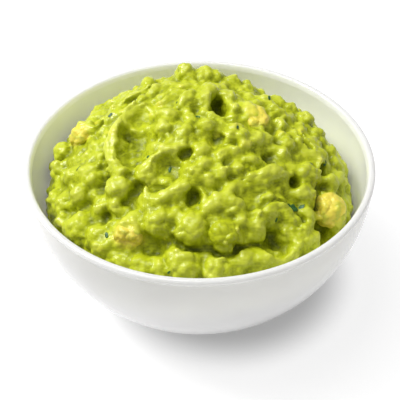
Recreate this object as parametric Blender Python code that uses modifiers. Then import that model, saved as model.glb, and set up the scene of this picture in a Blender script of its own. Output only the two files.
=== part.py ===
"""Guacamole heaped in a round white porcelain bowl, at real size.

One collection holds the bowl, the mash and five pieces of whole avocado that
show in it. A second one holds the shapes that cut the mash round those pieces.
The origin is the middle of the foot ring, on the surface that the bowl stands
on. +Z is up and the front is towards -Y. All lengths are metres, and MM turns
the named sizes from millimetres.
"""

import math

import bmesh
import bpy
import numpy as np
from mathutils import Vector, noise

MM = 0.001

# The bowl is a turned shape: a round belly on a foot ring.
RIM_RADIUS = 75.0 * MM
RIM_HEIGHT = 65.0 * MM
FOOT_RADIUS = 36.0 * MM
FOOT_HEIGHT = 3.0 * MM
FOOT_RING_WIDTH = 5.5 * MM
RECESS_DEPTH = 2.0 * MM
WALL = 3.2 * MM
LIP_WIDTH = 3.0 * MM
LIP_STEP = 0.4 * MM
LIP_DEPTH = 2.2 * MM
LIP_OUTER_ROUND = 1.4 * MM
LIP_INNER_ROUND = 1.0 * MM
BELLY_POWER = 1.2
BOWL_STEPS = 60
WALL_POINTS = 7

# The mash fills the bowl and stands above it in a heap that leans to the back.
GAP = 0.3 * MM
WALL_CLEARANCE = 0.5 * MM
WALL_LINE = 43.0 * MM
HEAP_HEIGHT = 42.0 * MM
HEAP_SHIFT = (-4.0 * MM, 11.0 * MM)
HEAP_POWER = 1.8
HEAP_ROUND = 1.6
HEAP_CENTRE = Vector((0.0, 0.004, 0.02))
EDGE_FADE = 0.06
MASH_SUBDIVISIONS = 5
LUMP_HEIGHT = 0.8 * MM
LUMP_LENGTH = 9.0 * MM
MASH_SEED = 41.7

# Relief of the heap, seen from above: places (x, y), widths and heights in millimetres.
# A knob or a pit is round. A ridge or a furrow follows its line of places.
KNOBS = [
    (-6.0, 41.0, 8.0, 3.4), (3.0, 42.0, 7.0, 3.2), (9.0, 42.0, 7.0, 3.0), (18.0, 41.0, 8.0, 1.6),
    (-60.5, 9.0, 8.0, 2.6), (-51.0, -14.0, 12.0, 2.4), (-49.0, -37.0, 11.0, 2.8), (-37.5, -48.0, 8.0, 2.6),
    (-32.5, -27.0, 8.0, 3.2), (-33.0, -35.0, 7.0, 1.8), (-16.5, -44.0, 9.0, 3.2), (-3.0, -47.0, 9.5, 3.4),
    (12.5, -38.5, 7.0, 2.6), (20.0, -45.0, 8.0, 2.0), (-6.5, -58.5, 10.0, 3.2), (6.0, -60.0, 9.0, 2.6),
    (15.0, -59.5, 8.0, 2.0), (28.0, -38.0, 11.0, 2.2), (44.5, -15.5, 9.0, 3.2), (57.0, -11.0, 8.0, 2.6),
    (44.0, -27.0, 8.0, 2.0), (47.0, 24.0, 8.0, 3.0), (54.0, 11.0, 8.0, 2.0), (38.0, 29.0, 7.0, 2.0),
    (21.0, 14.0, 8.0, 2.0), (15.0, -5.0, 8.0, 2.4), (-6.5, -7.0, 9.0, 1.8), (3.0, 22.5, 8.0, 2.0),
]
PITS = [
    (8.5, 12.0, 8.0, 9.0), (-1.0, 7.0, 5.0, 2.6), (-28.5, -4.0, 8.0, 3.8), (-29.0, -14.0, 7.5, 3.8),
    (6.5, -9.0, 5.0, 2.4), (-6.0, -17.0, 5.0, 3.0), (-12.0, -24.0, 7.0, 2.8), (30.0, -13.5, 7.0, 3.0),
    (39.0, -21.5, 6.0, 5.0), (-2.5, -36.5, 6.0, 5.4), (-38.0, -38.0, 6.0, 4.0), (-46.0, -28.0, 6.5, 3.2),
    (52.5, -9.0, 5.0, 3.4), (31.0, 2.0, 5.0, 2.2), (30.5, -47.5, 8.0, 4.2), (-18.5, -53.5, 7.0, 3.6),
    (53.0, -38.0, 7.5, 5.0), (-28.0, -33.0, 6.0, 3.2), (20.0, -33.5, 8.0, 2.4),
]
RIDGES = [
    ([(-26.0, 12.0), (-30.0, 6.0), (-34.0, -3.0), (-35.0, -10.0), (-34.0, -18.0), (-31.0, -23.0)], 4.5, 2.8),
    ([(31.0, -20.0), (25.0, -24.0), (17.0, -31.0), (8.0, -38.0)], 4.5, 2.6),
    ([(-11.0, -17.0), (-16.0, -20.0), (-22.0, -25.0)], 4.5, 2.6),
    ([(-23.0, -32.0), (-21.0, -37.0), (-16.0, -36.5), (-6.0, -31.5)], 4.5, 2.2),
    ([(18.0, -55.0), (25.0, -54.0), (33.0, -51.0), (39.0, -45.5), (42.0, -40.0)], 4.5, 2.8),
    ([(28.0, 24.0), (35.0, 16.0), (40.0, 8.0), (50.0, -4.0)], 4.5, 2.0),
]
FURROWS = [
    ([(-22.0, -50.5), (-12.0, -52.5), (-4.0, -55.0), (4.0, -55.5), (14.0, -54.5)], 3.0, 4.4),
    ([(-26.0, 15.0), (-12.0, 28.0)], 3.0, 1.6),
    ([(-38.0, 19.0), (-27.0, 31.0)], 3.0, 1.6),
    ([(38.0, 14.0), (43.0, 5.0), (48.0, -1.0)], 3.0, 2.2),
]

# Whole pieces of avocado: name, place of the centre, half sizes and seed.
CHUNKS = [
    ("avocado_chunk_right", (54.0, -24.5, 55.5), (6.2, 6.6, 6.6), 3.0),
    ("avocado_chunk_front_left", (-27.6, -46.0, 62.0), (6.0, 5.0, 4.6), 7.0),
    ("avocado_chunk_left", (-50.0, 11.0, 67.5), (5.4, 6.4, 5.0), 11.0),
    ("avocado_chunk_top", (23.5, 9.5, 77.5), (6.0, 7.4, 4.6), 19.0),
    ("avocado_knob_front", (9.4, -48.5, 64.0), (5.8, 5.6, 5.8), 23.0),
]
CHUNK_SUBDIVISIONS = 2
CHUNK_SQUARENESS = 2.5
CHUNK_ROUGHNESS = 0.10

COLLECTION_NAME = "guacamole_in_bowl"
CUTTER_COLLECTION_NAME = "cutters"


def clear_scene():
    """Remove what the file opens with."""
    for scene_object in list(bpy.data.objects):
        bpy.data.objects.remove(scene_object, do_unlink=True)


def new_collection(name):
    collection = bpy.data.collections.new(name)
    bpy.context.scene.collection.children.link(collection)
    return collection


def new_material(name, colour, roughness):
    """A plain non-metallic Principled material."""
    material = bpy.data.materials.new(name)
    material.use_nodes = True
    shader = material.node_tree.nodes["Principled BSDF"]
    shader.inputs["Base Color"].default_value = (*colour, 1.0)
    shader.inputs["Roughness"].default_value = roughness
    shader.inputs["Metallic"].default_value = 0.0
    return material


def new_object(name, mesh, collection, material=None):
    scene_object = bpy.data.objects.new(name, mesh)
    collection.objects.link(scene_object)
    if material is not None:
        mesh.materials.append(material)
    return scene_object


# ---------------------------------------------------------------- the bowl


def outer_wall(angle):
    """Radius and height on the outside of the wall, from 0 at the lip to pi / 2 at the foot."""
    top_radius = RIM_RADIUS - LIP_STEP
    top_height = RIM_HEIGHT - LIP_DEPTH
    radius = FOOT_RADIUS + (top_radius - FOOT_RADIUS) * math.cos(angle) ** BELLY_POWER
    height = FOOT_HEIGHT + (top_height - FOOT_HEIGHT) * (1.0 - math.sin(angle))
    return radius, height


def offset_wall(angle, depth):
    """The same point moved inwards, square to the wall."""
    step = 1e-4
    low = min(max(angle, step), math.pi / 2 - step)
    radius_before, height_before = outer_wall(low - step)
    radius_after, height_after = outer_wall(low + step)
    along = Vector((radius_after - radius_before, height_after - height_before)).normalized()
    radius, height = outer_wall(angle)
    return radius + depth * along.y, height - depth * along.x


def wall_radius(height, depth):
    """Radius at a height of the wall moved inwards by depth."""
    low, high = 0.0, math.pi / 2
    for _ in range(40):
        middle = (low + high) / 2
        if offset_wall(middle, depth)[1] > height:
            low = middle
        else:
            high = middle
    return offset_wall((low + high) / 2, depth)[0]


def arc(centre, radius, start, end, count):
    angles = [start + (end - start) * step / (count - 1) for step in range(count)]
    return [(centre[0] + radius * math.cos(a), centre[1] + radius * math.sin(a)) for a in angles]


def bowl_profile():
    """Half of the bowl's section: up the inside, over the lip, down the outside to the foot."""
    angles = [math.pi / 2 * (step / WALL_POINTS) for step in range(WALL_POINTS + 1)]
    inside = [offset_wall(angle, WALL) for angle in reversed(angles[1:])]
    outside = [outer_wall(angle) for angle in angles]
    inner_round_centre = (RIM_RADIUS - LIP_WIDTH + LIP_INNER_ROUND, RIM_HEIGHT - LIP_INNER_ROUND)
    outer_round_centre = (RIM_RADIUS - LIP_OUTER_ROUND, RIM_HEIGHT - LIP_OUTER_ROUND)
    lip = arc(inner_round_centre, LIP_INNER_ROUND, math.pi, math.pi / 2, 3)
    lip += arc(outer_round_centre, LIP_OUTER_ROUND, math.pi / 2, -math.pi / 12, 5)
    floor = [(0.0, inside[0][1])]
    ring_inner = FOOT_RADIUS - FOOT_RING_WIDTH
    foot = [(FOOT_RADIUS, 0.0), (ring_inner, 0.0), (ring_inner, RECESS_DEPTH), (0.0, RECESS_DEPTH)]
    return floor + inside + lip + outside + foot


def turned_object(name, profile, collection, material):
    """A closed solid of revolution: the profile turned about Z by a Screw modifier."""
    mesh = bpy.data.meshes.new(name)
    edges = [(index, index + 1) for index in range(len(profile) - 1)]
    mesh.from_pydata([(radius, 0.0, height) for radius, height in profile], edges, [])
    turned = new_object(name, mesh, collection, material)
    screw = turned.modifiers.new("Turn", "SCREW")
    screw.axis = "Z"
    screw.angle = 2.0 * math.pi
    screw.steps = BOWL_STEPS
    screw.render_steps = BOWL_STEPS
    screw.use_merge_vertices = True
    screw.merge_threshold = 0.00001
    screw.use_smooth_shade = True
    return turned


# ---------------------------------------------------------------- the mash


def bump(distance, radius):
    """1 at the middle, falling smoothly to 0 at the radius."""
    share = np.clip(distance / radius, 0.0, 1.0)
    return (1.0 - share ** 2) ** 2


def distance_to_line(places, line):
    """Shortest distance in millimetres from each place to a line of points."""
    nearest = np.full(len(places), np.inf)
    for start, end in zip(line[:-1], line[1:]):
        start, along = np.array(start), np.array(end) - np.array(start)
        share = np.clip((places - start) @ along / (along @ along), 0.0, 1.0)
        foot = start + share[:, None] * along
        nearest = np.minimum(nearest, np.hypot(*(places - foot).T))
    return nearest


def relief(places):
    """Height of the knobs and ridges less the depth of the pits and furrows, in metres."""
    raised = np.zeros(len(places))
    sunk = np.zeros(len(places))
    for x, y, width, height in KNOBS:
        distance = np.hypot(places[:, 0] - x, places[:, 1] - y)
        raised = np.maximum(raised, height * bump(distance, width))
    for line, width, height in RIDGES:
        raised = np.maximum(raised, height * bump(distance_to_line(places, line), 1.6 * width))
    for x, y, width, depth in PITS:
        distance = np.hypot(places[:, 0] - x, places[:, 1] - y)
        sunk = np.maximum(sunk, depth * bump(distance, width))
    for line, width, depth in FURROWS:
        sunk = np.maximum(sunk, depth * bump(distance_to_line(places, line), 1.6 * width))
    return (raised - sunk) * MM


def small_lumps(points):
    """Uneven swelling of the whole heap, in metres."""
    seed = Vector((MASH_SEED, 0.0, 0.0))
    values = [noise.noise(Vector(point) / LUMP_LENGTH + seed) for point in points]
    return LUMP_HEIGHT * 2.0 * np.array(values)


def heap_points(directions):
    """Points on the smooth heap for the upper half of a unit sphere."""
    reach = wall_radius(WALL_LINE, WALL + WALL_CLEARANCE)
    share = np.hypot(directions[:, 0], directions[:, 1])
    lean = 1.0 - share ** 2
    x = reach * directions[:, 0] + HEAP_SHIFT[0] * lean
    y = reach * directions[:, 1] + HEAP_SHIFT[1] * lean
    z = WALL_LINE + HEAP_HEIGHT * np.maximum(1.0 - share ** HEAP_POWER, 0.0) ** (1.0 / HEAP_ROUND)
    return np.stack([x, y, z], axis=1)


def filling_points(directions):
    """Points just inside the bowl's wall for the lower half of a unit sphere."""
    depth = WALL + WALL_CLEARANCE
    floor_height = offset_wall(math.pi / 2, depth)[1]
    points = []
    for x, y, z in directions:
        spread = math.hypot(x, y)
        height = floor_height + (WALL_LINE - floor_height) * (1.0 - abs(z))
        radius = wall_radius(height, depth)
        if height < floor_height + 1e-6:
            radius = FOOT_RADIUS * spread
        if spread > 1e-9:
            points.append((radius * x / spread, radius * y / spread, height))
        else:
            points.append((0.0, 0.0, height))
    return np.array(points)


def keep_off_wall(points):
    """Pull points back so that none comes closer to the bowl than its clearance."""
    spread = np.hypot(points[:, 0], points[:, 1])
    limit = np.array([wall_radius(height, WALL + WALL_CLEARANCE) for height in points[:, 2]])
    scale = np.minimum(1.0, limit / np.maximum(spread, 1e-9))
    points[:, :2] *= scale[:, None]
    return points


def mash_mesh():
    """An icosphere whose upper half becomes the heap and whose lower half fills the bowl."""
    shape = bmesh.new()
    bmesh.ops.create_icosphere(shape, subdivisions=MASH_SUBDIVISIONS, radius=1.0)
    directions = np.array([vertex.co for vertex in shape.verts])
    upper = directions[:, 2] > -1e-6
    points = np.empty_like(directions)
    smooth_heap = heap_points(directions[upper])
    outward = smooth_heap - np.array(HEAP_CENTRE)
    outward /= np.linalg.norm(outward, axis=1)[:, None]
    rise = relief(smooth_heap[:, :2] / MM) + small_lumps(smooth_heap)
    fade = np.clip(directions[upper][:, 2] / EDGE_FADE, 0.0, 1.0)
    points[upper] = keep_off_wall(smooth_heap + outward * (rise * fade)[:, None])
    points[~upper] = filling_points(directions[~upper])
    for vertex, point in zip(shape.verts, points):
        vertex.co = point
    mesh = bpy.data.meshes.new("guacamole_mash")
    shape.to_mesh(mesh)
    shape.free()
    mesh.shade_smooth()
    return mesh


# ---------------------------------------------------------------- avocado


def chunk_mesh(name, centre, half_sizes, seed, growth):
    """A rounded, slightly square lump. Growth makes the same shape larger all round."""
    shape = bmesh.new()
    bmesh.ops.create_icosphere(shape, subdivisions=CHUNK_SUBDIVISIONS, radius=1.0)
    for vertex in shape.verts:
        direction = vertex.co.normalized()
        squared = sum(abs(part) ** CHUNK_SQUARENESS for part in direction)
        reach = squared ** (-1.0 / CHUNK_SQUARENESS)
        reach *= 1.0 + CHUNK_ROUGHNESS * noise.noise(direction * 1.3 + Vector((seed, 0.0, 0.0)))
        body = Vector([direction[axis] * reach * half_sizes[axis] * MM for axis in range(3)])
        body += body.normalized() * growth
        vertex.co = Vector(centre) * MM + body
    mesh = bpy.data.meshes.new(name)
    shape.to_mesh(mesh)
    shape.free()
    mesh.shade_smooth()
    return mesh


def seat_in_mash(mash, name, placing, cutters):
    """Cut a socket in the mash, one gap larger than the piece that sits in it."""
    cutter_name = name + "_cutter"
    cutter = new_object(cutter_name, chunk_mesh(cutter_name, *placing, GAP), cutters)
    cutter.hide_render = True
    cutter.display_type = "WIRE"
    cut = mash.modifiers.new("Seat " + name, "BOOLEAN")
    cut.operation = "DIFFERENCE"
    cut.solver = "EXACT"
    cut.object = cutter


def main():
    clear_scene()
    parts = new_collection(COLLECTION_NAME)
    cutters = new_collection(CUTTER_COLLECTION_NAME)
    porcelain = new_material("porcelain", (0.82, 0.82, 0.81), 0.15)
    mashed = new_material("mashed_avocado", (0.42, 0.50, 0.05), 0.35)
    flesh = new_material("avocado_flesh", (0.58, 0.52, 0.07), 0.35)
    turned_object("bowl", bowl_profile(), parts, porcelain)
    mash = new_object("guacamole_mash", mash_mesh(), parts, mashed)
    for name, centre, half_sizes, seed in CHUNKS:
        placing = (centre, half_sizes, seed)
        new_object(name, chunk_mesh(name, *placing, 0.0), parts, flesh)
        seat_in_mash(mash, name, placing, cutters)


main()
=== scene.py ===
"""Guacamole in its bowl: glazed porcelain, mashed avocado, pieces of ripe avocado and herbs.

Laid out as a Blender add-on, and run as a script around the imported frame. All lengths in the
functions that shape the mash are millimetres. MM turns them to metres where a mesh is made.
"""

import math

import bmesh
import bpy
import numpy as np
from bpy.props import FloatProperty, IntProperty, PointerProperty, StringProperty
from bpy.types import Operator, Panel, PropertyGroup
from mathutils import Matrix, Vector, noise
from mathutils.bvhtree import BVHTree


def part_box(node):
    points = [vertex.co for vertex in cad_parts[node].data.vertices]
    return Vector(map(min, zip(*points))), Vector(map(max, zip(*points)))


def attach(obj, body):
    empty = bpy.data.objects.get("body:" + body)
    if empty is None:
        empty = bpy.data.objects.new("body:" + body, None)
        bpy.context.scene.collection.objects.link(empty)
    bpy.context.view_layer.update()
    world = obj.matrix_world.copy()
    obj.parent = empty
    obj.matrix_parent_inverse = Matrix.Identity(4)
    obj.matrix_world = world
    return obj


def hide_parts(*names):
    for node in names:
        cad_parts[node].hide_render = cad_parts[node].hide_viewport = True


bl_info = {
    "name": "Guacamole Bowl Builder",
    "version": (1, 0, 0),
    "blender": (4, 5, 0),
    "location": "View3D > Sidebar > Guacamole",
    "description": "Builds a porcelain bowl heaped with guacamole",
    "category": "Add Mesh",
}

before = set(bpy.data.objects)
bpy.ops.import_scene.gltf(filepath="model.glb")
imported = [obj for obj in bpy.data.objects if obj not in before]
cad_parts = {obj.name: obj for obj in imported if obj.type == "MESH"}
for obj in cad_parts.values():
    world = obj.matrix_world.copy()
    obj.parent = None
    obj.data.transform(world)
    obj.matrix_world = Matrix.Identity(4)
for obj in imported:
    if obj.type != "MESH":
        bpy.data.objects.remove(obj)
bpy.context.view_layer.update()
BOWL_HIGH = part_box("bowl")[1]
MM = 0.001
BODY = "root"
# How far the mash reaches into the wall of the bowl, so that no gap shows, in millimetres.
WALL_OVERLAP = 0.3
# Space that the soft edge and the warp of a shape need round it, in millimetres.
MARGIN = 2.4

# Relief of the heap. Places are (x, y) seen from above, in millimetres, with the front at -Y.
# Knob: place, radius, how far its top stands out of the heap, tint from -1 (green) to 1 (yellow).
KNOBS = [
    (-6.0, 41.0, 5.6, 4.6, 0.0), (3.0, 42.0, 4.6, 4.4, 0.0), (8.0, 42.0, 4.2, 4.2, -0.2),
    (15.0, 41.0, 4.6, 2.4, 0.0), (21.0, 41.0, 4.4, 2.2, 0.1), (-23.0, 37.0, 3.8, 2.2, 0.0),
    (36.0, 30.0, 4.2, 2.0, 0.0), (41.0, 28.0, 3.8, 2.6, 0.0), (47.0, 24.0, 4.6, 4.0, 0.2),
    (52.0, 14.0, 4.6, 2.4, 0.0), (57.0, 8.0, 4.2, 2.4, 0.0), (60.5, 1.0, 3.8, 2.0, -0.1),
    (-47.0, 22.0, 4.2, 1.2, 0.0), (-60.5, 9.0, 5.4, 3.2, 0.0), (-62.0, -1.0, 4.6, 2.0, 0.1),
    (-62.0, -16.0, 4.4, 2.4, -0.1), (-57.5, -22.0, 4.4, 2.2, 0.0), (-58.0, -29.0, 3.8, 1.8, 0.1),
    (-53.0, -12.0, 6.5, 2.2, 0.1), (-46.0, -17.0, 5.5, 2.8, 0.0), (-50.0, -23.0, 5.0, 2.4, 0.1),
    (-49.0, -38.0, 7.0, 3.2, 0.2), (-53.5, -33.5, 4.6, 2.2, 0.1), (-42.5, -42.5, 5.0, 2.6, 0.1),
    (-37.5, -48.0, 6.2, 3.2, 0.2), (-32.5, -27.0, 5.8, 4.4, 0.2), (-33.0, -35.0, 4.8, 2.6, 0.1),
    (-40.5, -33.0, 4.4, 2.2, 0.1), (-25.0, -42.0, 3.8, 2.8, 0.1), (-16.5, -44.0, 6.4, 5.0, 0.2),
    (-10.0, -42.0, 4.4, 2.2, 0.0), (-3.0, -47.0, 7.0, 5.2, 0.2), (12.5, -38.5, 4.8, 3.4, 0.2),
    (17.0, -43.0, 3.8, 2.8, 0.1), (22.5, -46.0, 4.8, 2.6, 0.0), (-6.5, -58.5, 7.4, 4.8, 0.2),
    (7.0, -60.0, 6.6, 4.2, 0.2), (14.0, -59.5, 5.6, 2.6, 0.0), (-24.0, -57.0, 5.0, 2.4, 0.0),
    (-16.5, -59.5, 5.0, 2.2, 0.0), (-31.0, -54.0, 4.4, 1.8, 0.1), (27.0, -39.0, 6.8, 2.8, 0.0),
    (34.0, -35.0, 6.0, 2.4, -0.1), (37.0, -42.0, 5.4, 1.8, 0.0), (44.5, -15.5, 6.6, 4.2, 0.2),
    (44.0, -25.0, 5.0, 2.4, 0.1), (56.0, -12.5, 5.0, 3.2, 0.0), (60.0, -7.0, 4.4, 2.6, 0.0),
    (44.0, -34.0, 5.0, 2.4, 0.0), (45.5, -42.0, 4.6, 2.0, -0.1), (22.0, 13.5, 5.6, 2.6, 0.5),
    (25.0, 19.0, 4.0, 2.0, 0.3), (15.0, -5.0, 5.4, 3.2, 0.5), (19.0, -9.5, 3.2, 2.2, 0.7),
    (23.5, -5.0, 4.4, 3.0, 0.3), (28.0, -3.5, 4.0, 1.8, 0.0), (3.0, 22.5, 5.0, 2.8, 0.0),
    (-5.0, 15.0, 5.0, 2.6, 0.1), (12.5, 21.0, 4.8, 2.2, 0.1), (2.5, 13.5, 3.2, 2.4, 0.2),
    (13.5, 10.5, 4.4, 2.2, 0.1), (-13.0, 3.0, 5.6, 1.6, 0.1), (-15.0, -4.0, 4.4, 2.4, 0.1),
    (-6.5, -7.0, 6.0, 2.6, -0.3), (3.0, -3.5, 5.0, 2.8, 0.1), (0.5, -15.0, 4.8, 2.4, 0.1),
    (-8.5, -12.5, 4.6, 2.0, 0.2), (9.0, -17.0, 4.4, 1.8, 0.0), (15.0, -16.0, 4.2, 1.8, 0.1),
    (21.5, -17.0, 4.6, 2.0, 0.1), (2.5, -22.0, 3.8, 2.0, 0.1), (9.0, -25.0, 3.8, 2.2, 0.1),
    (-3.0, -26.0, 4.4, 2.2, 0.1), (4.0, -29.0, 3.6, 2.2, 0.2), (15.0, -22.5, 3.8, 1.8, 0.0),
    (35.0, 9.0, 4.8, 1.8, -0.1), (37.0, -1.0, 4.6, 1.8, -0.1), (31.5, 21.0, 4.6, 1.6, 0.0),
    (50.0, 6.0, 4.6, 2.2, 0.0), (35.0, -8.0, 4.6, 1.8, 0.0), (52.0, -1.0, 4.6, 2.4, 0.0),
    (24.0, -57.0, 4.4, 1.8, 0.0), (39.0, 18.0, 4.4, 1.8, 0.0),
]
# Pit: place, radius of its mouth and depth.
PITS = [
    (8.5, 12.0, 5.0, 14.0), (-1.0, 7.0, 2.6, 2.8), (6.5, -9.0, 2.4, 2.6), (-6.0, -17.0, 2.4, 3.0),
    (30.0, -13.5, 3.4, 2.6), (39.0, -21.5, 2.5, 5.4), (-2.5, -36.5, 3.2, 5.0), (-38.0, -38.0, 2.8, 3.4),
    (52.5, -8.0, 2.4, 4.4), (52.0, -17.0, 2.2, 3.6), (31.0, 2.0, 2.8, 2.4), (-28.0, -34.5, 2.4, 3.0),
    (53.5, -38.0, 6.4, 13.0),
]
# Hollow: a wide shallow dip. Place, radius and depth.
HOLLOWS = [
    (-24.0, 5.0, 6.5, 4.2), (-26.0, -4.0, 7.0, 5.6), (-27.0, -13.0, 7.0, 6.0),
    (-20.5, -4.0, 6.0, 3.0), (-12.0, -24.0, 6.0, 3.6),
    (30.5, -47.5, 6.5, 5.4), (-18.5, -53.5, 6.0, 4.6), (-39.5, -24.0, 5.0, 4.0), (-46.0, -29.5, 5.0, 3.6),
    (20.0, -33.5, 6.5, 3.0), (33.0, 10.0, 6.0, 2.2), (-27.0, -30.0, 4.5, 3.0), (49.0, -33.5, 6.0, 4.0),
    (-22.0, 6.0, 7.0, 1.8), (38.0, -29.0, 5.0, 2.2), (56.0, 4.0, 4.0, 1.6), (-56.0, 2.0, 5.0, 1.6),
]
# Ridge: line of places, radius, height above the heap and tint.
RIDGES = [
    ([(-26.0, 12.0), (-30.0, 6.0), (-34.0, -3.0), (-35.0, -10.0), (-34.0, -18.0), (-31.0, -23.0)],
     3.8, 4.4, 0.3),
    ([(31.0, -20.0), (25.0, -24.0), (17.0, -31.0), (8.0, -38.0), (4.0, -41.5)], 3.6, 3.0, 0.3),
    ([(-11.0, -17.0), (-16.0, -20.0), (-22.0, -25.0), (-24.0, -29.0)], 3.6, 3.2, 0.3),
    ([(-23.0, -32.0), (-21.0, -37.0), (-16.0, -36.5), (-10.0, -34.5), (-6.0, -31.5)], 3.4, 2.8, 0.2),
    ([(18.0, -55.0), (25.0, -54.0), (33.0, -51.0), (39.0, -45.5), (42.0, -40.0)], 4.0, 3.2, 0.1),
    ([(28.0, 24.0), (35.0, 16.0), (40.0, 8.0), (45.0, 1.0), (50.0, -4.0)], 3.4, 2.4, 0.1),
    ([(-30.0, 20.0), (-22.0, 26.0), (-14.0, 31.0)], 3.4, 1.6, 0.1),
    ([(-44.0, 8.0), (-36.0, 17.0), (-28.0, 26.0)], 3.2, 1.6, 0.1),
]
# Fork marks: start, end, radius and depth. They run from lower left to upper right.
FORK_MARKS = [
    ((-26.0, 15.0), (-12.0, 28.0), 1.2, 0.55), ((-21.0, 12.0), (-9.0, 23.0), 1.1, 0.5),
    ((-31.0, 18.0), (-17.0, 31.0), 1.2, 0.55), ((-16.0, 8.0), (-8.0, 17.0), 1.1, 0.5),
    ((-38.0, 19.0), (-27.0, 31.0), 1.2, 0.55), ((-44.0, 15.0), (-35.0, 25.0), 1.2, 0.5),
    ((-41.0, 3.0), (-36.0, 10.0), 1.1, 0.5), ((-48.0, 2.0), (-42.0, 10.0), 1.1, 0.5),
    ((-45.0, -6.0), (-39.0, 0.0), 1.0, 0.45), ((-52.0, -4.0), (-47.0, 2.0), 1.0, 0.45),
]
# Crack: line of places, radius, depth and how far it reaches back under the lumps above it.
CRACKS = [
    ([(-22.0, -50.0), (-18.0, -51.5), (-13.0, -51.5), (-10.0, -50.0)], 0.9, 2.0, 0.3),
    ([(-10.0, -51.0), (-6.0, -54.0), (-1.0, -55.0), (4.0, -53.5)], 0.9, 1.5, 0.4),
    ([(3.5, -54.0), (8.0, -56.5), (12.5, -56.0), (16.0, -53.0)], 0.9, 1.5, 0.5),
    ([(38.0, 14.0), (41.5, 9.0), (42.5, 4.0), (47.0, -1.0)], 1.1, 1.2, 0.0),
    ([(14.0, -53.0), (20.0, -51.0), (27.0, -50.0)], 1.0, 2.0, 0.6),
    ([(49.0, -18.0), (48.5, -25.0), (49.0, -32.0)], 1.2, 2.6, 0.4),
    ([(-45.0, -34.0), (-38.0, -28.0)], 1.0, 1.8, 0.2),
    ([(23.0, -36.0), (30.0, -32.5), (37.0, -32.0), (41.0, -37.0)], 0.9, 1.0, 0.0),
    ([(-56.0, -26.0), (-53.0, -29.0), (-47.0, -30.5)], 1.0, 1.8, 0.2),
    ([(-62.0, 3.0), (-58.0, 4.0), (-55.5, 9.0)], 1.0, 1.8, 0.0),
]
# Whole pieces of avocado: CAD node, half sizes, turn in degrees round Z, and seed.
CHUNKS = [
    ("avocado_chunk_right", (6.4, 6.8, 6.8), 20.0, 3.0),
    ("avocado_chunk_front_left", (6.2, 5.0, 4.6), -15.0, 7.0),
    ("avocado_chunk_left", (5.4, 6.6, 5.0), -40.0, 11.0),
    ("avocado_chunk_top", (5.6, 7.6, 4.4), 15.0, 19.0),
    ("avocado_knob_front", (6.0, 5.8, 6.0), 0.0, 23.0),
]
# Herb flecks that show: place (x, y), length, width and turn in degrees.
HERB_FLECKS = [
    (37.2, -32.4, 5.6, 2.8, 170.0), (41.0, -31.4, 3.4, 2.2, 20.0), (-11.8, -21.5, 3.0, 1.1, 80.0),
    (-0.8, 5.8, 3.6, 2.4, 20.0), (-38.2, 12.0, 2.4, 1.2, 45.0), (53.5, -4.5, 3.2, 1.4, 110.0),
]


# ---------------------------------------------------------------- settings


class BowlSettings(PropertyGroup):
    rim_radius: FloatProperty(
        name="Rim radius", description="Outside of the lip", default=BOWL_HIGH.x, unit="LENGTH")
    rim_height: FloatProperty(
        name="Rim height", description="Top of the lip", default=BOWL_HIGH.z, unit="LENGTH")
    foot_radius: FloatProperty(
        name="Foot radius", description="Outside of the foot ring", default=0.036, unit="LENGTH")
    foot_height: FloatProperty(
        name="Foot height", description="Height of the foot ring", default=0.003, unit="LENGTH")
    foot_width: FloatProperty(
        name="Foot width", description="Width of the foot ring", default=0.0055, unit="LENGTH")
    recess: FloatProperty(
        name="Recess", description="Depth of the hollow under the foot", default=0.002, unit="LENGTH")
    wall: FloatProperty(name="Wall", description="Thickness of the wall", default=0.0032, unit="LENGTH")
    lip_width: FloatProperty(
        name="Lip width", description="Width of the lip", default=0.003, unit="LENGTH")
    lip_step: FloatProperty(
        name="Lip step", description="How far the lip stands out", default=0.0004, unit="LENGTH")
    lip_depth: FloatProperty(
        name="Lip depth", description="Height of the lip's edge", default=0.0022, unit="LENGTH")
    steps: IntProperty(name="Steps", description="Faces round the bowl", default=160, min=24)
    glaze: StringProperty(name="Glaze", description="Colour of the glazed porcelain", default="DDDCDB")
    # The inner glaze colour is painted light: the inside of the bowl is painted whiter than the outside.
    inside: StringProperty(
        name="Inner glaze", description="Colour of the thicker glaze inside", default="F6F6F4")
    biscuit: StringProperty(name="Biscuit", description="Colour of the bare foot ring", default="E6E0D6")


class MashSettings(PropertyGroup):
    voxel: FloatProperty(
        name="Grain", description="Size of the finest shape", default=0.00075, unit="LENGTH")
    wall_line: FloatProperty(
        name="Wall line", description="Where the heap meets the wall", default=0.043, unit="LENGTH")
    heap: FloatProperty(
        name="Heap", description="Height of the heap above that line", default=0.042, unit="LENGTH")
    lumps: IntProperty(name="Lumps", description="Number of small random lumps", default=1500, min=0)
    relief: FloatProperty(
        name="Relief", description="Height of the fine relief", default=0.0009, unit="LENGTH")
    seed: IntProperty(name="Seed", description="Seed of everything uneven in the mash", default=7)
    # Pale is partly painted light on the lumps, and deep is painted shade in the hollows.
    pale: StringProperty(name="Pale", description="Colour of lumps that stand out", default="D2D84E")
    middle: StringProperty(name="Middle", description="Colour of most of the mash", default="B8C21A")
    deep: StringProperty(name="Deep", description="Colour in the hollows", default="5C6600")
    ripe: StringProperty(name="Ripe", description="Colour round the whole pieces", default="E8DA48")


class AvocadoSettings(PropertyGroup):
    flesh: StringProperty(name="Flesh", description="Yellow flesh near the stone", default="E4D64A")
    green: StringProperty(name="Green", description="Green flesh near the skin", default="C6C842")


class HerbSettings(PropertyGroup):
    leaf: StringProperty(name="Leaf", description="Colour of the chopped herbs", default="1E4A1C")
    spacing: FloatProperty(
        name="Spacing", description="Least gap between two small flecks", default=0.03, unit="LENGTH")
    fleck: FloatProperty(
        name="Fleck", description="Half the length of a small fleck", default=0.00075, unit="LENGTH")
    seed: IntProperty(name="Seed", description="Seed of the small flecks", default=4)


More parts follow.
